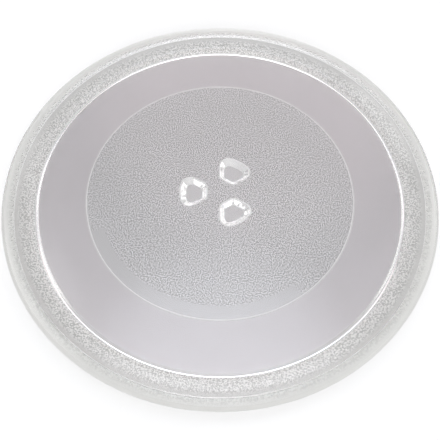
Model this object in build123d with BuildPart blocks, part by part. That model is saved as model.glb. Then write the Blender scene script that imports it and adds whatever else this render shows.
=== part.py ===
import os
from math import cos, radians, sin, sqrt, tan

from build123d import *

os.makedirs("parts", exist_ok=True)

# Sizes in mm. The Z axis is the axis of turning and z = 0 is the plane of the three lug feet.
plate_radius = 122.5
lug_height = 4.2
floor_thickness = 4.8
rim_rise = 4.0

# Rim, from the outside inward: a lip that falls a little to its round edge, then a slope to the floor.
lip_width = 7.0
lip_drop = 0.5
lip_thickness = 4.2
lip_edge_chamfer = 1.4
slope_angle = 26.0
slope_thickness = 4.2

# Underside, from the outside inward: the heel ring, the roller track, then the stippled field.
heel_depth = 1.2
heel_outer_rise = 0.5
heel_outer_run = 0.5
heel_width = 0.2
heel_inner_run = 1.5
track_width = 26.1
field_step = 0.25
field_step_run = 0.6

# Roundings of the section's corners.
lip_edge_rounding = 2.2
crest_rounding = 10.0
under_crest_rounding = 5.0
floor_corner_rounding = 5.0

# Drive lugs: sectors round the hub, with straight radial sides and drafted walls.
lug_count = 3
lug_direction = 60.0
lug_half_angle = 30.0
lug_inner_flat = 7.7
lug_outer_radius = 22.9
lug_side_draft = 29.7
lug_outer_draft = 37.3
lug_root_inner_corner = 3.2
lug_foot_inner_corner = 1.2
lug_root_outer_corner = 5.0
lug_foot_outer_corner = 3.0
lug_foot_rounding = 1.0
lug_root_rounding = 1.0

# Heights, from the lug feet upward.
field_z = lug_height
track_z = field_z + field_step
heel_z = track_z - heel_depth
slope_foot_z = heel_z + heel_outer_rise
floor_z = track_z + floor_thickness
crest_z = floor_z + rim_rise
under_crest_z = crest_z - lip_thickness
edge_z = crest_z - lip_drop
under_edge_z = edge_z - lip_thickness

# Radii, from the edge inward. The underside of the slope lies parallel to its top.
slope_run = 1 / tan(radians(slope_angle))
slope_shift = slope_thickness / sin(radians(slope_angle))
edge_foot_radius = plate_radius - lip_edge_chamfer
crest_radius = plate_radius - lip_width
floor_radius = crest_radius - rim_rise * slope_run
under_crest_radius = floor_radius + (under_crest_z - floor_z) * slope_run + slope_shift
slope_foot_radius = floor_radius + (slope_foot_z - floor_z) * slope_run + slope_shift
heel_outer_radius = slope_foot_radius - heel_outer_run
heel_inner_radius = heel_outer_radius - heel_width
track_radius = heel_inner_radius - heel_inner_run
field_edge_radius = track_radius - track_width
field_radius = field_edge_radius - field_step_run


def lug_outline(level, side_inset, outer_inset, inner_corner, outer_corner):
    """One lug's outline at a height, drawn in from its root outline by the two insets."""
    half_angle = radians(lug_half_angle)
    inner = lug_inner_flat + side_inset
    outer = lug_outer_radius - outer_inset
    inner_half_width = inner * tan(half_angle) - side_inset / cos(half_angle)
    side_length = sqrt(outer**2 - side_inset**2)
    corner_x = side_length * cos(half_angle) + side_inset * sin(half_angle)
    corner_y = side_length * sin(half_angle) - side_inset * cos(half_angle)
    with BuildSketch(Plane.XY.offset(level)) as outline:
        with BuildLine():
            Polyline(
                (corner_x, -corner_y),
                (inner, -inner_half_width),
                (inner, inner_half_width),
                (corner_x, corner_y),
            )
            ThreePointArc((corner_x, corner_y), (outer, 0), (corner_x, -corner_y))
        make_face()
        fillet(outline.vertices().group_by(Axis.X)[-1], outer_corner)
        fillet(outline.vertices().group_by(Axis.X)[0], inner_corner)
    return outline.sketch


# One drive lug, pointing along X: a ruled solid from its root on the field to its foot.
foot_side_inset = lug_height * tan(radians(lug_side_draft))
foot_outer_inset = lug_height * tan(radians(lug_outer_draft))
with BuildPart() as drive_lug:
    loft(
        [
            lug_outline(field_z, 0, 0, lug_root_inner_corner, lug_root_outer_corner),
            lug_outline(
                0, foot_side_inset, foot_outer_inset, lug_foot_inner_corner, lug_foot_outer_corner
            ),
        ],
        ruled=True,
    )
    fillet(drive_lug.edges().group_by(Axis.Z)[0], lug_foot_rounding)

# The plate: its section turned round the axis, with the lugs pressed in one with the floor.
with BuildPart() as glass_plate:
    with BuildSketch(Plane.XZ):
        with BuildLine():
            FilletPolyline(
                (0, field_z),
                (field_radius, field_z),
                (field_edge_radius, track_z),
                (track_radius, track_z),
                (heel_inner_radius, heel_z),
                (heel_outer_radius, heel_z),
                (slope_foot_radius, slope_foot_z),
                (under_crest_radius, under_crest_z),
                (edge_foot_radius, under_edge_z),
                (plate_radius, under_edge_z + lip_edge_chamfer),
                (plate_radius, edge_z),
                (crest_radius, crest_z),
                (floor_radius, floor_z),
                (0, floor_z),
                radius=[
                    0,
                    0,
                    0,
                    0,
                    0,
                    0,
                    0,
                    under_crest_rounding,
                    0,
                    0,
                    lip_edge_rounding,
                    crest_rounding,
                    floor_corner_rounding,
                    0,
                ],
                close=True,
            )
        make_face()
    revolve(axis=Axis.Z)
    with PolarLocations(0, lug_count, start_angle=lug_direction):
        add(drive_lug.part)
    lug_roots = glass_plate.edges().filter_by_position(Axis.Z, field_z - 0.01, field_z + 0.01)
    fillet(lug_roots.filter_by(lambda edge: edge.center().length < field_radius / 2), lug_root_rounding)

glass_plate.part.label = "glass_plate"
export_step(glass_plate.part, "parts/glass_plate.step")
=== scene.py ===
from math import atan2, ceil, cos, pi, radians, sin, sqrt, tan

import bmesh
import bpy
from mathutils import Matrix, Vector


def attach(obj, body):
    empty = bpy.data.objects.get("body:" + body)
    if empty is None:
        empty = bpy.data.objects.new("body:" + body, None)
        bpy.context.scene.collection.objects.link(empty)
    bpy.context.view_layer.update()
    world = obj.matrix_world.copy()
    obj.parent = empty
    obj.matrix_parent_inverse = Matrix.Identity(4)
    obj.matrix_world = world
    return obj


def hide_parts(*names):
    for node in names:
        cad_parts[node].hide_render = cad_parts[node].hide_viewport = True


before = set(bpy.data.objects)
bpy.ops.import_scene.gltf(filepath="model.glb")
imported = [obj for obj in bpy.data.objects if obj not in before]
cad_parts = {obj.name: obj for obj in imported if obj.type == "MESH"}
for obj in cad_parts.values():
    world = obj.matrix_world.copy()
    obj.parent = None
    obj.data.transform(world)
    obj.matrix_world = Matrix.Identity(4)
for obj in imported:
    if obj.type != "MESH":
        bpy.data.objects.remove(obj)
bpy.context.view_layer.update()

mm = 0.001
scene = bpy.context.scene
print("frame loaded:", sorted(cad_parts))


# shared small helpers

def addNode(tree, kind, place, settings=None, **inputs):
    # inputs go by socket name, with _ for a space
    node = tree.nodes.new(kind)
    node.location = place
    for key, value in (settings or {}).items():
        setattr(node, key, value)
    for key, value in inputs.items():
        node.inputs[key.replace("_", " ")].default_value = value
    return node


def wire(tree, fromSocket, toSocket):
    tree.links.new(fromSocket, toSocket)


def addMaths(tree, operation, place, *values):
    # each value is a number or a socket
    node = addNode(tree, "ShaderNodeMath", place, {"operation": operation})
    for socket, value in zip(node.inputs, values):
        if isinstance(value, (int, float)):
            socket.default_value = value
        else:
            wire(tree, value, socket)
    return node.outputs[0]


def newGroup(name, kind, inputs, outputs):
    group = bpy.data.node_groups.new(name, kind)
    for socket, socketKind in inputs.items():
        group.interface.new_socket(socket, in_out="INPUT", socket_type="NodeSocket" + socketKind)
    for socket, socketKind in outputs.items():
        group.interface.new_socket(socket, in_out="OUTPUT", socket_type="NodeSocket" + socketKind)
    given = addNode(group, "NodeGroupInput", (-1400, 0))
    out = addNode(group, "NodeGroupOutput", (2400, 0))
    return group, given, out


def roundedPath(corners, support, turnStep=None, arcSteps=None):
    # corners are (u, v, rounding); arcs are stepped, and straights get a support point near each arc
    points = []
    for i, (u, v, rounding) in enumerate(corners):
        here = Vector((u, v))
        if rounding == 0 or i in (0, len(corners) - 1):
            points.append(here)
            continue
        toLast = (Vector(corners[i - 1][:2]) - here).normalized()
        toNext = (Vector(corners[i + 1][:2]) - here).normalized()
        half = toLast.angle(toNext) / 2
        reach = rounding / tan(half)
        centre = here + (toLast + toNext).normalized() * (rounding / sin(half))
        first = here + toLast * reach
        last = here + toNext * reach
        sweep = pi - 2 * half
        steps = arcSteps or max(3, ceil(sweep / turnStep))  # three at least
        startArm = first - centre
        turn = 1 if startArm.cross(last - centre) > 0 else -1
        points.append(first + toLast * support)
        for k in range(steps + 1):
            a = turn * sweep * k / steps
            points.append(centre + Vector((
                startArm.x * cos(a) - startArm.y * sin(a),
                startArm.x * sin(a) + startArm.y * cos(a))))
        points.append(last + toNext * support)
    return points


def meshFromPath(name, points):
    mesh = bpy.data.meshes.new(name)
    verts = [(p.x, 0, p.y) for p in points]
    edges = [(i, i + 1) for i in range(len(points) - 1)]
    mesh.from_pydata(verts, edges, [])
    return mesh


# glass plate: sizes as pressed, in metres

plate = {
    "radius": 122.5 * mm,
    "lugHeight": 4.2 * mm,
    "floorThickness": 4.8 * mm,
    "rimRise": 4.0 * mm,
    "lipWidth": 7.0 * mm,
    "lipDrop": 0.5 * mm,
    "lipThickness": 4.2 * mm,
    "lipEdgeChamfer": 1.4 * mm,
    "slopeAngle": radians(26),
    "slopeThickness": 4.2 * mm,
    "slopeEnd": 116.05 * mm,  # a fine step under the crest, where the slope ends
    "heelDepth": 1.2 * mm,
    "heelWidth": 0.2 * mm,
    "heelInnerRun": 1.5 * mm,
    "heelOuterRise": 0.5 * mm,
    "heelOuterRun": 0.5 * mm,
    "fieldEdge": 77.3 * mm,
    "fieldStep": 0.25 * mm,
    "fieldStepRun": 0.6 * mm,
    "fieldBorder": 0.5 * mm,  # flat strip from which the field is filled
    # roundings of the section's corners
    "stepRound": 0.06 * mm,
    "trackRound": 0.12 * mm,
    "heelRound": 0.1 * mm,
    "slopeFootRound": 0.2 * mm,
    "slopeEndRound": 0.05 * mm,
    "edgeFootRound": 1.2 * mm,
    "edgeSideRound": 0.5 * mm,
    "lipEdgeRound": 2.2 * mm,
    "crestRound": 10 * mm,
    "floorRound": 5 * mm,
    # mesh
    "segments": 384,
    "turnStep": radians(7),
    "support": 0.02 * mm,
    "weld": 0.001 * mm,
    "fieldWeld": 0.002 * mm,
}

# heights, from the lug feet upward
fieldZ = plate["lugHeight"]
trackZ = fieldZ + plate["fieldStep"]
heelZ = trackZ - plate["heelDepth"]
slopeFootZ = heelZ + plate["heelOuterRise"]
floorZ = trackZ + plate["floorThickness"]
crestZ = floorZ + plate["rimRise"]
edgeZ = crestZ - plate["lipDrop"]
underCrestZ = crestZ - plate["lipThickness"]
underEdgeZ = edgeZ - plate["lipThickness"]

# radii; the slope's underside lies parallel to its top
slopeRun = 1 / tan(plate["slopeAngle"])
slopeShift = plate["slopeThickness"] / sin(plate["slopeAngle"])
edgeFootR = plate["radius"] - plate["lipEdgeChamfer"]
crestR = plate["radius"] - plate["lipWidth"]
floorR = crestR - plate["rimRise"] * slopeRun
underCrestR = floorR + (underCrestZ - floorZ) * slopeRun + slopeShift
slopeFootR = floorR + (slopeFootZ - floorZ) * slopeRun + slopeShift
heelOuterR = slopeFootR - plate["heelOuterRun"]
heelInnerR = heelOuterR - plate["heelWidth"]
trackR = heelInnerR - plate["heelInnerRun"]
fieldR = plate["fieldEdge"] - plate["fieldStepRun"]

# the step under the crest rises at 45 degrees to the lip
slopeEndR = plate["slopeEnd"]
slopeEndZ = slopeFootZ + (slopeEndR - slopeFootR) / slopeRun
lipFall = (underCrestZ - underEdgeZ) / (edgeFootR - underCrestR)
lipStartR = (underCrestZ + lipFall * underCrestR - slopeEndZ + slopeEndR) / (1 + lipFall)
lipStartZ = slopeEndZ + lipStartR - slopeEndR

plateSection = [
    (fieldR - plate["fieldBorder"], fieldZ, 0),
    (fieldR, fieldZ, plate["stepRound"]),
    (plate["fieldEdge"], trackZ, plate["stepRound"]),
    (trackR, trackZ, plate["trackRound"]),
    (heelInnerR, heelZ, plate["heelRound"]),
    (heelOuterR, heelZ, plate["heelRound"]),
    (slopeFootR, slopeFootZ, plate["slopeFootRound"]),
    (slopeEndR, slopeEndZ, plate["slopeEndRound"]),
    (lipStartR, lipStartZ, plate["slopeEndRound"]),
    (edgeFootR, underEdgeZ, plate["edgeFootRound"]),
    (plate["radius"], underEdgeZ + plate["lipEdgeChamfer"], plate["edgeSideRound"]),
    (plate["radius"], edgeZ, plate["lipEdgeRound"]),
    (crestR, crestZ, plate["crestRound"]),
    (floorR, floorZ, plate["floorRound"]),
    (0, floorZ, 0),
]

# where each finish but the clear one lies: radius from and to, height from and to; later rows win

zoneSizes = {
    "lap": 0.05 * mm,
    "lugReach": 30 * mm,
    "crestFrom": 113 * mm,
    "crestTo": 117.6 * mm,
    "crestRise": 1.5 * mm,  # above the floor
}
lap = zoneSizes["lap"]
zones = [
    ("track", plate["fieldEdge"], trackR, trackZ - lap, trackZ + lap),
    ("step", fieldR, plate["fieldEdge"], fieldZ, trackZ),
    ("slope", slopeFootR, slopeEndR, heelZ, underCrestZ),
    ("wall", slopeEndR, lipStartR, heelZ, underCrestZ),
    ("lip", lipStartR, plate["radius"] + lap, trackZ, edgeZ - plate["lipThickness"] / 2),
    ("crest", zoneSizes["crestFrom"], zoneSizes["crestTo"], floorZ + zoneSizes["crestRise"], crestZ),
    ("foot", 0, zoneSizes["lugReach"], -lap, lap),
    ("wall", 0, zoneSizes["lugReach"], lap, fieldZ - lap),
    ("wall", heelInnerR, slopeFootR, heelZ - lap, trackZ - lap),
    ("heel", trackR, heelInnerR, heelZ - lap, trackZ - lap),
]

# drive lugs: drafted sectors, each line of points runs from the field down to the foot

lugs = {
    "count": 3,
    "direction": radians(60),
    "halfAngle": radians(30),
    "innerFlat": 7.7 * mm,
    "outerRadius": 22.9 * mm,
    "sideInset": 2.4 * mm,
    "innerInset": 2.4 * mm,
    "outerInset": 3.2 * mm,
    "rootCorner": 5.0 * mm,
    "footCorner": 3.0 * mm,
    "rootInnerCorner": 3.2 * mm,
    "footInnerCorner": 1.2 * mm,
    "rootRound": 1.0 * mm,
    "footRound": 1.0 * mm,
    "flat": 1.2 * mm,  # length of field and foot that the roundings are drawn on
    "sidePoints": 10,
    "cornerPoints": 10,
    "arcPoints": 24,
    "arcSteps": 6,
}


def lugOutline(sideInset, innerInset, outerInset, outerCorner, innerCorner):
    # closed outline along X, with the same number of points whatever the insets
    h = lugs["halfAngle"]
    inner = lugs["innerFlat"] + innerInset
    outer = lugs["outerRadius"] - outerInset
    innerHalf = inner * tan(h) - sideInset / cos(h)
    # outer corner circle touches the side line and the outer arc from within
    off = sideInset + outerCorner
    reach = sqrt((outer - outerCorner) ** 2 - off ** 2)
    centre = Vector((reach * cos(h) + off * sin(h), reach * sin(h) - off * cos(h)))
    sideDir = Vector((cos(h), sin(h)))
    sideNormal = Vector((-sin(h), cos(h)))
    touchSide = centre + sideNormal * outerCorner
    arcAngle = atan2(centre.y, centre.x)
    turn = pi / 2 + h  # inner corner between the flat and a side
    cut = innerCorner / tan(turn / 2)
    innerPoint = Vector((inner, innerHalf))
    flatEnd = innerPoint - Vector((0, cut))
    sideStart = innerPoint + sideDir * cut
    innerCentre = Vector((inner + innerCorner, flatEnd.y))
    flatPoints = lugs["sidePoints"] // 2
    half = []
    for i in range(flatPoints + 1):
        half.append(Vector((inner, flatEnd.y * i / flatPoints)))
    for i in range(1, lugs["cornerPoints"] + 1):
        a = pi - (pi - turn) * i / lugs["cornerPoints"]
        half.append(innerCentre + innerCorner * Vector((cos(a), sin(a))))
    for i in range(1, lugs["sidePoints"] + 1):
        half.append(sideStart.lerp(touchSide, i / lugs["sidePoints"]))
    for i in range(1, lugs["cornerPoints"] + 1):
        a = turn + (arcAngle - turn) * i / lugs["cornerPoints"]
        half.append(centre + outerCorner * Vector((cos(a), sin(a))))
    halfArcPoints = lugs["arcPoints"] // 2
    for i in range(1, halfArcPoints + 1):
        a = arcAngle * (1 - i / halfArcPoints)
        half.append(outer * Vector((cos(a), sin(a))))
    mirrored = [Vector((p.x, -p.y)) for p in reversed(half[1:-1])]
    return half + mirrored


def buildLug():
    root = lugOutline(0, 0, 0, lugs["rootCorner"], lugs["rootInnerCorner"])
    foot = lugOutline(lugs["sideInset"], lugs["innerInset"], lugs["outerInset"],
                      lugs["footCorner"], lugs["footInnerCorner"])
    form = bmesh.new()
    columns = []
    for top, bottom in zip(root, foot):
        inward = bottom - top
        inset = inward.length
        inward.normalize()
        corners = [
            (-lugs["flat"], fieldZ, 0),
            (0, fieldZ, lugs["rootRound"]),
            (inset, 0, lugs["footRound"]),
            (inset + lugs["flat"], 0, 0),
        ]
        profile = roundedPath(corners, plate["support"], arcSteps=lugs["arcSteps"])[1:-1]
        column = []
        for s, z in profile:
            p = top + inward * s
            column.append(form.verts.new((p.x, p.y, z)))
        columns.append(column)
    for i, a in enumerate(columns):
        b = columns[(i + 1) % len(columns)]
        for j in range(len(a) - 1):
            form.faces.new((a[j], a[j + 1], b[j + 1], b[j]))
    form.faces.new([column[-1] for column in columns])
    mesh = bpy.data.meshes.new("driveLug")
    form.to_mesh(mesh)
    form.free()
    print("lug drawn: points down", len(columns[0]), "points round", len(columns))
    return mesh


# press the plate: turn the section, set the lugs round, fill the field between them

def pressTree(finishes):
    tree, given, out = newGroup(
        "pressPlate", "GeometryNodeTree",
        {"Section": "Object", "Lug": "Object", "Segments": "Int", "Lug Count": "Int",
         "Lug Direction": "Float", "Field Height": "Float"},
        {"Geometry": "Geometry"})

    def maths(operation, place, *values):
        return addMaths(tree, operation, place, *values)

    # turned section: a grid whose columns follow the section and whose rows go round
    section = addNode(tree, "GeometryNodeObjectInfo", (-1200, 300))
    wire(tree, given.outputs["Section"], section.inputs["Object"])
    size = addNode(tree, "GeometryNodeAttributeDomainSize", (-1000, 420), {"component": "MESH"})
    wire(tree, section.outputs["Geometry"], size.inputs["Geometry"])
    rows = maths("ADD", (-1000, 160), given.outputs["Segments"], 1)
    grid = addNode(tree, "GeometryNodeMeshGrid", (-800, 420), Size_X=1.0, Size_Y=1.0)
    wire(tree, size.outputs["Point Count"], grid.inputs["Vertices X"])
    wire(tree, rows, grid.inputs["Vertices Y"])
    position = addNode(tree, "GeometryNodeInputPosition", (-1000, 0))
    split = addNode(tree, "ShaderNodeSeparateXYZ", (-820, 0))
    wire(tree, position.outputs[0], split.inputs[0])
    lastColumn = maths("SUBTRACT", (-820, 200), size.outputs["Point Count"], 1)
    along = maths("MULTIPLY", (-500, 120), maths("ADD", (-650, 120), split.outputs[0], 0.5), lastColumn)
    column = maths("ROUND", (-350, 120), along)
    turn = maths("MULTIPLY", (-500, -60), maths("ADD", (-650, -60), split.outputs[1], 0.5), 2 * pi)
    pick = addNode(tree, "GeometryNodeSampleIndex", (-200, 300),
                   {"data_type": "FLOAT_VECTOR", "domain": "POINT"})
    wire(tree, section.outputs["Geometry"], pick.inputs["Geometry"])
    wire(tree, position.outputs[0], pick.inputs["Value"])
    wire(tree, column, pick.inputs["Index"])
    picked = addNode(tree, "ShaderNodeSeparateXYZ", (-30, 300))
    wire(tree, pick.outputs[0], picked.inputs[0])
    acrossX = maths("MULTIPLY", (130, 260), picked.outputs[0], maths("COSINE", (-30, 60), turn))
    acrossY = maths("MULTIPLY", (130, 120), picked.outputs[0], maths("SINE", (-30, -80), turn))
    spun = addNode(tree, "ShaderNodeCombineXYZ", (300, 200))
    wire(tree, acrossX, spun.inputs[0])
    wire(tree, acrossY, spun.inputs[1])
    wire(tree, picked.outputs[2], spun.inputs[2])
    bend = addNode(tree, "GeometryNodeSetPosition", (480, 420))
    wire(tree, grid.outputs["Mesh"], bend.inputs["Geometry"])
    wire(tree, spun.outputs[0], bend.inputs["Position"])
    turned = addNode(tree, "GeometryNodeMergeByDistance", (650, 420), Distance=plate["weld"])
    wire(tree, bend.outputs[0], turned.inputs["Geometry"])

    # lugs set round the hub
    lug = addNode(tree, "GeometryNodeObjectInfo", (-1200, -300))
    wire(tree, given.outputs["Lug"], lug.inputs["Object"])
    hub = addNode(tree, "GeometryNodeMeshLine", (-1000, -420), {"mode": "OFFSET"})
    wire(tree, given.outputs["Lug Count"], hub.inputs["Count"])
    hub.inputs["Offset"].default_value = (0, 0, 0)
    number = addNode(tree, "GeometryNodeInputIndex", (-1000, -620))
    share = maths("DIVIDE", (-820, -700), 2 * pi, given.outputs["Lug Count"])
    around = maths("ADD", (-500, -620), maths("MULTIPLY", (-650, -620), number.outputs[0], share),
                   given.outputs["Lug Direction"])
    aim = addNode(tree, "ShaderNodeCombineXYZ", (-350, -620))
    wire(tree, around, aim.inputs[2])
    place = addNode(tree, "GeometryNodeInstanceOnPoints", (-150, -420))
    wire(tree, hub.outputs[0], place.inputs["Points"])
    wire(tree, lug.outputs["Geometry"], place.inputs["Instance"])
    wire(tree, aim.outputs[0], place.inputs["Rotation"])
    lugSet = addNode(tree, "GeometryNodeRealizeInstances", (50, -420))
    wire(tree, place.outputs[0], lugSet.inputs[0])

    # clear glass all over, then each finish on its own zone
    body = addNode(tree, "GeometryNodeJoinGeometry", (820, 300))
    wire(tree, turned.outputs[0], body.inputs[0])
    wire(tree, lugSet.outputs[0], body.inputs[0])
    last = addNode(tree, "GeometryNodeSetMaterial", (980, 300))
    last.inputs["Material"].default_value = finishes["clear"]
    wire(tree, body.outputs[0], last.inputs["Geometry"])
    where = addNode(tree, "ShaderNodeSeparateXYZ", (480, -100))
    wire(tree, position.outputs[0], where.inputs[0])
    squareX = maths("MULTIPLY", (640, -60), where.outputs[0], where.outputs[0])
    squareY = maths("MULTIPLY", (640, -200), where.outputs[1], where.outputs[1])
    radius = maths("SQRT", (900, -100), maths("ADD", (780, -100), squareX, squareY))
    height = where.outputs[2]
    for finish, fromR, toR, fromZ, toZ in zones:
        x = last.location.x + 220
        ring = maths("MULTIPLY", (x, 100), maths("GREATER_THAN", (x, 0), radius, fromR),
                     maths("LESS_THAN", (x, -60), radius, toR))
        layer = maths("MULTIPLY", (x, 160), maths("GREATER_THAN", (x, -120), height, fromZ),
                      maths("LESS_THAN", (x, -180), height, toZ))
        zone = addNode(tree, "GeometryNodeSetMaterial", (x, 300))
        zone.inputs["Material"].default_value = finishes[finish]
        wire(tree, last.outputs[0], zone.inputs["Geometry"])
        wire(tree, maths("MULTIPLY", (x, 220), ring, layer), zone.inputs["Selection"])
        last = zone

    # the field: fill the flat between the turned edge and the lug roots
    edge = addNode(tree, "GeometryNodeInputMeshEdgeNeighbors", (820, -600))
    openEdge = addNode(tree, "FunctionNodeCompare", (980, -600), {"data_type": "INT", "operation": "EQUAL"})
    wire(tree, edge.outputs[0], openEdge.inputs[2])
    openEdge.inputs[3].default_value = 1
    loops = addNode(tree, "GeometryNodeMeshToCurve", (1140, -500))
    wire(tree, body.outputs[0], loops.inputs["Mesh"])
    wire(tree, openEdge.outputs[0], loops.inputs["Selection"])
    fill = addNode(tree, "GeometryNodeFillCurve", (1300, -500), {"mode": "TRIANGLES"})
    wire(tree, loops.outputs[0], fill.inputs["Curve"])
    lift = addNode(tree, "ShaderNodeCombineXYZ", (1300, -700))
    wire(tree, given.outputs["Field Height"], lift.inputs[2])
    field = addNode(tree, "GeometryNodeTransform", (1460, -500))
    wire(tree, fill.outputs[0], field.inputs["Geometry"])
    wire(tree, lift.outputs[0], field.inputs["Translation"])
    fieldFaces = addNode(tree, "GeometryNodeSetMaterial", (1620, -500))
    fieldFaces.inputs["Material"].default_value = finishes["field"]
    wire(tree, field.outputs[0], fieldFaces.inputs["Geometry"])

    whole = addNode(tree, "GeometryNodeJoinGeometry", (1780, 0))
    wire(tree, last.outputs[0], whole.inputs[0])
    wire(tree, fieldFaces.outputs[0], whole.inputs[0])
    welded = addNode(tree, "GeometryNodeMergeByDistance", (1940, 0), Distance=plate["fieldWeld"])
    wire(tree, whole.outputs[0], welded.inputs["Geometry"])
    real = addNode(tree, "GeometryNodeRealizeInstances", (2100, 0))
    wire(tree, welded.outputs[0], real.inputs[0])
    wire(tree, real.outputs[0], out.inputs["Geometry"])
    return tree


def setInput(modifier, tree, name, value):
    for item in tree.interface.items_tree:
        if item.item_type == "SOCKET" and item.in_out == "INPUT" and item.name == name:
            modifier[item.identifier] = value


def pressPlate(finishes):
    path = roundedPath(plateSection, plate["support"], turnStep=plate["turnStep"])
    section = bpy.data.objects.new("plateSection", meshFromPath("plateSection", path))
    lug = bpy.data.objects.new("driveLug", buildLug())
    blank = bpy.data.objects.new("glassPlate", bpy.data.meshes.new("glassPlate"))
    for part in (section, lug, blank):
        scene.collection.objects.link(part)
    tree = pressTree(finishes)
    press = blank.modifiers.new("press", "NODES")
    press.node_group = tree
    for name, value in {
        "Section": section, "Lug": lug, "Segments": plate["segments"], "Lug Count": lugs["count"],
        "Lug Direction": lugs["direction"], "Field Height": fieldZ,
    }.items():
        setInput(press, tree, name, value)
    bpy.context.view_layer.update()
    ready = blank.evaluated_get(bpy.context.evaluated_depsgraph_get())
    mesh = bpy.data.meshes.new_from_object(ready)
    blank.modifiers.remove(press)
    blank.data = mesh
    mesh.name = "glassPlate"
    for part in (section, lug):
        bpy.data.objects.remove(part)
    form = bmesh.new()
    form.from_mesh(mesh)
    bmesh.ops.remove_doubles(form, verts=form.verts, dist=plate["weld"])
    bmesh.ops.recalc_face_normals(form, faces=form.faces)
    for f in form.faces:
        f.smooth = True
    openEdges = sum(1 for e in form.edges if not e.is_manifold)
    volume = form.calc_volume(signed=True)
    form.to_mesh(mesh)
    form.free()
    print("plate pressed: faces", len(mesh.polygons), "open edges", openEdges,
          "volume mm3", round(volume / mm ** 3))
    # one material slot for each finish, in the order of the finishes
    slots = list(finishes.values())
    order = [slots.index(mesh.materials[p.material_index]) for p in mesh.polygons]
    mesh.materials.clear()
    for finish in slots:
        mesh.materials.append(finish)
    mesh.polygons.foreach_set("material_index", order)
    return blank


# glass: what all finishes share, then a row of settings for each finish

glass = {
    "ior": 1.5,
    "bounces": 32,  # light runs a long way inside glass
    "stippleLow": 0.38,  # noise levels at the stipple's hollows and tops
    "stippleHigh": 0.62,
    "polishDetail": 2.0,
    "polishRough": 0.45,
    "arcSoft": 0.02,
}

clearTint = (0.955, 0.955, 0.955)

# wave and depth of the polish, spread of its shade; mirror is the share of light that the face reflects
smoothFinishes = {
    "clear": {"tint": clearTint, "wave": 40 * mm, "depth": 0.10 * mm, "spread": 0.02},
    "crest": {"tint": clearTint, "wave": 40 * mm, "depth": 0.10 * mm, "spread": 0.02, "mirror": 0.4},
    "track": {"tint": (0.515, 0.478, 0.506), "wave": 25 * mm, "depth": 0.03 * mm, "spread": 0.03},
    "foot": {"tint": (0.53, 0.52, 0.533), "wave": 12 * mm, "depth": 0.02 * mm, "spread": 0.04},
    "step": {"tint": (0.7, 0.68, 0.69), "wave": 12 * mm, "depth": 0.02 * mm, "spread": 0.04},
    "wall": {"tint": clearTint, "wave": 12 * mm, "depth": 0.03 * mm, "spread": 0.02, "roughness": 0.12},
    "heel": {"tint": (0.515, 0.49, 0.51), "wave": 12 * mm, "depth": 0.03 * mm, "spread": 0.02,
             "roughness": 0.12},
}

# stippled from one radius to the other; the last entry is radius from and to, share of the tint from and
# to: a painted light and shade across the rim, with a lighter inner slope, a painted dark line by the
# crest, a darker inner lip and a lighter outer edge
rimFinishes = {
    "slope": {"tint": (0.6, 0.593, 0.582), "grain": 0.85 * mm, "depth": 0.036 * mm, "spread": 0.38,
              "fromR": 105 * mm, "toR": 114.2 * mm, "soft": 2.5 * mm,
              "paintedShadeAndLight": (107 * mm, 117 * mm, 1.2, 0.68)},
    "lip": {"tint": (0.605, 0.605, 0.578), "grain": 0.85 * mm, "depth": 0.1 * mm, "spread": 0.16,
            "fromR": 105 * mm, "toR": 119 * mm, "soft": 2.5 * mm,
            "paintedShadeAndLight": (116.2 * mm, 122.3 * mm, 0.82, 1.34), "roughness": 0.45},
}

# stippled, but for a bare arc near the edge
fieldFinish = {
    "tint": (0.495, 0.484, 0.498),
    "grain": 0.6 * mm,
    "depth": 0.018 * mm,
    "spread": 0.65,
    "bareFrom": 69.0 * mm,
    "bareTo": 76.2 * mm,
    "bareSoft": 0.8 * mm,
    "bareMiddle": radians(252),
    "bareHalf": radians(52),
}


def stippleGroup():
    # pressed stipple: small humps of uneven size, as a normal and a shade from 0 to 1; the shade is the
    # grain's random tone and also painted glints and dark specks, standing in for light that the humps
    # refract
    group, given, out = newGroup("stipple", "ShaderNodeTree",
                                 {"Grain": "Float", "Depth": "Float", "Cover": "Float"},
                                 {"Normal": "Vector", "Shade": "Float"})
    coords = addNode(group, "ShaderNodeTexCoord", (-900, -250))
    scale = addMaths(group, "DIVIDE", (-700, 0), 1.0, given.outputs["Grain"])
    grains = addNode(group, "ShaderNodeTexNoise", (-500, 0), Detail=0.0)
    wire(group, coords.outputs["Object"], grains.inputs["Vector"])
    wire(group, scale, grains.inputs["Scale"])
    humps = addNode(group, "ShaderNodeMapRange", (-300, -150),
                    From_Min=glass["stippleLow"], From_Max=glass["stippleHigh"])
    wire(group, grains.outputs[0], humps.inputs["Value"])
    bump = addNode(group, "ShaderNodeBump", (100, 100))
    wire(group, given.outputs["Cover"], bump.inputs["Strength"])
    wire(group, given.outputs["Depth"], bump.inputs["Distance"])
    wire(group, humps.outputs[0], bump.inputs["Height"])
    wire(group, bump.outputs[0], out.inputs["Normal"])
    level = addMaths(group, "SUBTRACT", (0, -200), humps.outputs[0], 0.5)
    covered = addMaths(group, "MULTIPLY_ADD", (200, -200), level, given.outputs["Cover"], 0.5)
    wire(group, covered, out.inputs["Shade"])
    return group


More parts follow.
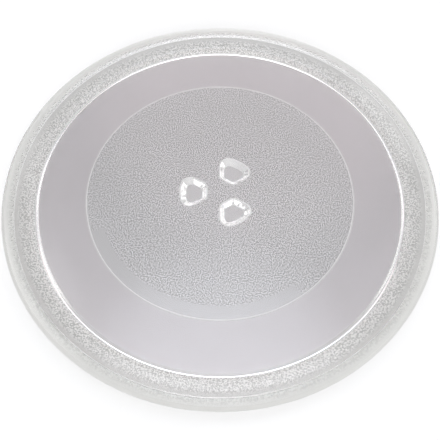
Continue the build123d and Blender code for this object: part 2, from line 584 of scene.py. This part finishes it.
def ringGroup():
    # distance from the plate's axis, and a soft mask of the ring between two radii
    group, given, out = newGroup("ring", "ShaderNodeTree",
                                 {"From": "Float", "To": "Float", "Soft": "Float"},
                                 {"Radius": "Float", "Mask": "Float"})
    coords = addNode(group, "ShaderNodeTexCoord", (-900, -250))
    flat = addNode(group, "ShaderNodeVectorMath", (-700, -250), {"operation": "MULTIPLY"})
    flat.inputs[1].default_value = (1, 1, 0)
    wire(group, coords.outputs["Object"], flat.inputs[0])
    length = addNode(group, "ShaderNodeVectorMath", (-500, -250), {"operation": "LENGTH"})
    wire(group, flat.outputs[0], length.inputs[0])
    radius = length.outputs["Value"]
    wire(group, radius, out.inputs["Radius"])
    masks = []
    # both edges ramp over Soft, centred on the given radius
    for i, (high, low) in enumerate(((radius, given.outputs["From"]), (given.outputs["To"], radius))):
        gap = addMaths(group, "SUBTRACT", (-300, -200 * i), high, low)
        share = addMaths(group, "DIVIDE", (-100, -200 * i), gap, given.outputs["Soft"])
        ramp = addNode(group, "ShaderNodeMapRange", (150, -200 * i), {"interpolation_type": "SMOOTHSTEP"},
                       From_Min=-0.5, From_Max=0.5)
        wire(group, share, ramp.inputs["Value"])
        masks.append(ramp.outputs[0])
    wire(group, addMaths(group, "MULTIPLY", (500, 0), *masks), out.inputs["Mask"])
    return group


def arcGroup():
    # soft mask of the directions within Half of Middle, seen from the plate's axis
    group, given, out = newGroup("arc", "ShaderNodeTree", {"Middle": "Float", "Half": "Float"},
                                 {"Mask": "Float"})
    coords = addNode(group, "ShaderNodeTexCoord", (-1000, -250))
    split = addNode(group, "ShaderNodeSeparateXYZ", (-800, -250))
    wire(group, coords.outputs["Object"], split.inputs[0])
    angle = addMaths(group, "ARCTAN2", (-600, -250), split.outputs[1], split.outputs[0])
    off = addMaths(group, "SUBTRACT", (-400, -150), angle, given.outputs["Middle"])
    near = addMaths(group, "WRAP", (-200, -150), off, -pi, pi)
    size = addMaths(group, "ABSOLUTE", (0, -150), near)
    within = addMaths(group, "SUBTRACT", (200, -50), given.outputs["Half"], size)
    mask = addNode(group, "ShaderNodeMapRange", (400, -50), {"interpolation_type": "SMOOTHSTEP"},
                   From_Min=-glass["arcSoft"], From_Max=glass["arcSoft"])
    wire(group, within, mask.inputs["Value"])
    wire(group, mask.outputs[0], out.inputs["Mask"])
    return group


def polishGroup():
    # slow waves of fire-polished glass, as a normal and a shade from 0 to 1
    group, given, out = newGroup("polish", "ShaderNodeTree", {"Wave": "Float", "Depth": "Float"},
                                 {"Normal": "Vector", "Shade": "Float"})
    coords = addNode(group, "ShaderNodeTexCoord", (-900, -250))
    scale = addMaths(group, "DIVIDE", (-700, 0), 1.0, given.outputs["Wave"])
    waves = addNode(group, "ShaderNodeTexNoise", (-500, 0),
                    Detail=glass["polishDetail"], Roughness=glass["polishRough"])
    wire(group, coords.outputs["Object"], waves.inputs["Vector"])
    wire(group, scale, waves.inputs["Scale"])
    bump = addNode(group, "ShaderNodeBump", (100, 100), Strength=1.0)
    wire(group, given.outputs["Depth"], bump.inputs["Distance"])
    wire(group, waves.outputs[0], bump.inputs["Height"])
    wire(group, bump.outputs[0], out.inputs["Normal"])
    wire(group, waves.outputs[0], out.inputs["Shade"])
    return group


stippleTree = stippleGroup()
ringTree = ringGroup()
arcTree = arcGroup()
polishTree = polishGroup()


def glassMaterial(name, roughness=0.0, mirror=1.0):
    material = bpy.data.materials.new(name)
    material.use_nodes = True
    shader = material.node_tree.nodes["Principled BSDF"]
    shader.inputs["Roughness"].default_value = roughness
    shader.inputs["IOR"].default_value = glass["ior"]
    shader.inputs["Specular Tint"].default_value = (mirror, mirror, mirror, 1)
    shader.inputs["Transmission Weight"].default_value = 1.0
    return material, material.node_tree, shader


def useGroup(tree, group, place, **inputs):
    return addNode(tree, "ShaderNodeGroup", place, {"node_tree": group}, **inputs)


def shadeTint(tree, shader, tint, shade, spread, paintedShadeAndLight=None):
    # tint made darker and lighter by a shade about 0.5, and by a ramp of painted light and shade if there
    # is one
    level = addNode(tree, "ShaderNodeMapRange", (-350, 250), To_Min=1 - spread, To_Max=1 + spread)
    wire(tree, shade, level.inputs["Value"])
    amount = level.outputs[0]
    if paintedShadeAndLight:
        amount = addMaths(tree, "MULTIPLY", (-250, 400), amount, paintedShadeAndLight)
    colour = addNode(tree, "ShaderNodeVectorMath", (-150, 250), {"operation": "SCALE"})
    colour.inputs[0].default_value = tint
    wire(tree, amount, colour.inputs["Scale"])
    wire(tree, colour.outputs[0], shader.inputs["Base Color"])


def smoothGlass(name, tint, wave, depth, spread, roughness=0.0, mirror=1.0):
    material, tree, shader = glassMaterial(name, roughness, mirror)
    polish = useGroup(tree, polishTree, (-600, 0), Wave=wave, Depth=depth)
    wire(tree, polish.outputs["Normal"], shader.inputs["Normal"])
    shadeTint(tree, shader, tint, polish.outputs["Shade"], spread)
    return material


def rimGlass(name, tint, grain, depth, spread, fromR, toR, soft, paintedShadeAndLight, roughness=0.0):
    material, tree, shader = glassMaterial(name, roughness)
    ring = useGroup(tree, ringTree, (-900, 0), From=fromR, To=toR, Soft=soft)
    stipple = useGroup(tree, stippleTree, (-600, 0), Grain=grain, Depth=depth)
    wire(tree, ring.outputs["Mask"], stipple.inputs["Cover"])
    wire(tree, stipple.outputs["Normal"], shader.inputs["Normal"])
    # painted light and shade: the tint ramps by radius, lighter on the inner slope and the outer edge,
    # darker by the crest and on the inner lip
    paintedFromR, paintedToR, fromShare, toShare = paintedShadeAndLight
    paintedRamp = addNode(tree, "ShaderNodeMapRange", (-600, 350), From_Min=paintedFromR, From_Max=paintedToR,
                     To_Min=fromShare, To_Max=toShare)
    wire(tree, ring.outputs["Radius"], paintedRamp.inputs["Value"])
    # the stipple's shade tints the rim: grain tone, and painted glints and dark specks
    shadeTint(tree, shader, tint, stipple.outputs["Shade"], spread, paintedRamp.outputs[0])
    return material


def fieldGlass(name):
    material, tree, shader = glassMaterial(name)
    ring = useGroup(tree, ringTree, (-1200, 0), From=fieldFinish["bareFrom"], To=fieldFinish["bareTo"],
                    Soft=fieldFinish["bareSoft"])
    arc = useGroup(tree, arcTree, (-1200, -250), Middle=fieldFinish["bareMiddle"],
                   Half=fieldFinish["bareHalf"])
    bare = addMaths(tree, "MULTIPLY", (-1000, -100), ring.outputs["Mask"], arc.outputs["Mask"])
    stipple = useGroup(tree, stippleTree, (-600, 0), Grain=fieldFinish["grain"], Depth=fieldFinish["depth"])
    wire(tree, addMaths(tree, "SUBTRACT", (-800, -100), 1.0, bare), stipple.inputs["Cover"])
    wire(tree, stipple.outputs["Normal"], shader.inputs["Normal"])
    # the stipple's shade tints the field: grain tone, and painted glints and dark specks
    shadeTint(tree, shader, fieldFinish["tint"], stipple.outputs["Shade"], fieldFinish["spread"])
    return material


finishes = {}
for name, settings in smoothFinishes.items():
    finishes[name] = smoothGlass(name + "Glass", **settings)
for name, settings in rimFinishes.items():
    finishes[name] = rimGlass(name + "Glass", **settings)
finishes["field"] = fieldGlass("fieldGlass")
print("glass finishes made:", sorted(finishes))

platePiece = pressPlate(finishes)
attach(platePiece, "root")
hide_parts("glass_plate")


# studio: white paper floor, and a world with a bright horizon and soft lobes of light

studio = {
    "floorSize": 8.0,
    "floorDrop": 0.25 * mm,
    "floorColour": (0.94, 0.94, 0.94, 1),
    "floorRough": 0.9,
    "floorWhite": 0.4,  # share of the floor shown as plain white to camera and glass
    "horizon": 3.2,
    "horizonTop": 0.3,  # height at which the horizon has faded out
    "even": 0.46,
    # lobes of light: direction, angle of the edge, angle of the core, light added
    "front": ((0, -0.93, 0.36), radians(48), radians(10), (2.7, 2.7, 2.7)),
    "lobes": [
        ((0, 0.21, 1), radians(26), radians(4), (0.85, 0.87, 0.94)),
        ((0, 0.21, 1), radians(15), radians(2), (1.75, 1.8, 1.95)),
        ((0, 0.91, 0.41), radians(16), radians(4), (2.5, 2.5, 2.6)),
        ((0.05, 0.62, 0.78), radians(18), radians(8), (0.8, 0.66, 0.68)),
        ((0.62, 0.36, 0.7), radians(15), radians(5), (1.8, 1.8, 1.8)),
        ((-0.42, 0.25, 0.87), radians(13), radians(4), (1.6, 1.6, 1.6)),
        ((0.72, -0.3, 0.62), radians(15), radians(5), (1.2, 1.2, 1.2)),
    ],
}
plainWhite = (1, 1, 1)


def buildFloor():
    mesh = bpy.data.meshes.new("studioFloor")
    h = studio["floorSize"] / 2
    z = -studio["floorDrop"]
    mesh.from_pydata([(-h, -h, z), (h, -h, z), (h, h, z), (-h, h, z)], [], [(0, 1, 2, 3)])
    floor = bpy.data.objects.new("studioFloor", mesh)
    scene.collection.objects.link(floor)
    paper = bpy.data.materials.new("studioPaper")
    paper.use_nodes = True
    tree = paper.node_tree
    shader = tree.nodes["Principled BSDF"]
    shader.inputs["Base Color"].default_value = studio["floorColour"]
    shader.inputs["Roughness"].default_value = studio["floorRough"]
    shader.inputs["Specular IOR Level"].default_value = 0.0
    ray = addNode(tree, "ShaderNodeLightPath", (-700, 300))
    seen = ray.outputs["Is Camera Ray"]
    for i, kind in enumerate(("Is Glossy Ray", "Is Transmission Ray")):
        seen = addMaths(tree, "MAXIMUM", (-500 + 180 * i, 300), seen, ray.outputs[kind])
    white = addNode(tree, "ShaderNodeEmission", (100, -300), Strength=1.0)
    blend = addNode(tree, "ShaderNodeMixShader", (400, 100))
    wire(tree, addMaths(tree, "MULTIPLY", (-100, 300), seen, studio["floorWhite"]), blend.inputs[0])
    wire(tree, shader.outputs[0], blend.inputs[1])
    wire(tree, white.outputs[0], blend.inputs[2])
    wire(tree, blend.outputs[0], tree.nodes["Material Output"].inputs["Surface"])
    mesh.materials.append(paper)


def mixLight(tree, place, share, light):
    # the node's vector sockets are 4 and 5 in, 1 out; the caller sets or wires socket 5
    node = addNode(tree, "ShaderNodeMix", place, {"data_type": "VECTOR"})
    wire(tree, share, node.inputs[0])
    wire(tree, light, node.inputs[4])
    return node


def buildWorld():
    world = bpy.data.worlds.new("studioAir")
    world.use_nodes = True
    tree = world.node_tree
    coords = addNode(tree, "ShaderNodeTexCoord", (-900, 0))
    split = addNode(tree, "ShaderNodeSeparateXYZ", (-700, 200))
    wire(tree, coords.outputs["Generated"], split.inputs[0])
    level = addNode(tree, "ShaderNodeMapRange", (-450, 200), {"interpolation_type": "SMOOTHSTEP"},
                    From_Min=0.0, From_Max=studio["horizonTop"],
                    To_Min=studio["horizon"], To_Max=studio["even"])
    wire(tree, split.outputs[2], level.inputs["Value"])
    air = addNode(tree, "ShaderNodeVectorMath", (-250, 200), {"operation": "SCALE"})
    air.inputs[0].default_value = plainWhite
    wire(tree, level.outputs[0], air.inputs["Scale"])

    def addLobe(light, lobe, y):
        direction, edge, core, colour = lobe
        toward = addNode(tree, "ShaderNodeVectorMath", (-700, y), {"operation": "DOT_PRODUCT"})
        toward.inputs[1].default_value = Vector(direction).normalized()
        wire(tree, coords.outputs["Generated"], toward.inputs[0])
        glow = addNode(tree, "ShaderNodeMapRange", (-450, y), {"interpolation_type": "SMOOTHSTEP"},
                       From_Min=cos(edge), From_Max=cos(core))
        wire(tree, toward.outputs["Value"], glow.inputs["Value"])
        tinted = addNode(tree, "ShaderNodeVectorMath", (-250, y), {"operation": "SCALE"})
        tinted.inputs[0].default_value = colour
        wire(tree, glow.outputs[0], tinted.inputs["Scale"])
        added = addNode(tree, "ShaderNodeVectorMath", (-50, y), {"operation": "ADD"})
        wire(tree, light, added.inputs[0])
        wire(tree, tinted.outputs[0], added.inputs[1])
        return added.outputs[0]

    # mirrored in the glass, the front and the horizon are no more than plain white
    ray = addNode(tree, "ShaderNodeLightPath", (100, 400))
    front = addLobe(air.outputs[0], studio["front"], 0)
    capped = addNode(tree, "ShaderNodeVectorMath", (100, 100), {"operation": "MINIMUM"})
    wire(tree, front, capped.inputs[0])
    capped.inputs[1].default_value = plainWhite
    mirrored = addMaths(tree, "MULTIPLY", (200, 250), ray.outputs["Is Glossy Ray"],
                        ray.outputs["Is Reflection Ray"])
    calm = mixLight(tree, (250, 50), mirrored, front)
    wire(tree, capped.outputs[0], calm.inputs[5])
    light = calm.outputs[1]
    for i, lobe in enumerate(studio["lobes"]):
        light = addLobe(light, lobe, -250 * (i + 1))
    # the camera itself sees plain white behind the object
    shown = mixLight(tree, (300, 200), ray.outputs["Is Camera Ray"], light)
    shown.inputs[5].default_value = plainWhite
    back = tree.nodes["Background"]
    back.inputs["Strength"].default_value = 1.0
    wire(tree, shown.outputs[1], back.inputs["Color"])
    scene.world = world


buildFloor()
buildWorld()
print("studio set: lobes of light", 1 + len(studio["lobes"]))


# camera, as in the photograph

view = {
    "distance": 322.2 * mm,
    "elevation": radians(59.57),
    "pitch": radians(3.21),
    "halfPicture": 220,  # half the picture's width, in its own dots
    "focal": 562.7,  # in the same dots
    "clipStart": 0.01,
}


def buildCamera():
    lens = bpy.data.cameras.new("camera")
    lens.sensor_fit = "HORIZONTAL"
    lens.angle = 2 * atan2(view["halfPicture"], view["focal"])
    lens.clip_start = view["clipStart"]
    camera = bpy.data.objects.new("camera", lens)
    e = view["elevation"]
    camera.location = (0, -view["distance"] * cos(e), floorZ + view["distance"] * sin(e))
    camera.rotation_euler = (pi / 2 - e - view["pitch"], 0, 0)
    scene.collection.objects.link(camera)
    scene.camera = camera


buildCamera()
scene.view_settings.view_transform = "Standard"
for kind in ("max_bounces", "glossy_bounces", "transmission_bounces"):
    setattr(scene.cycles, kind, glass["bounces"])
print("camera set")
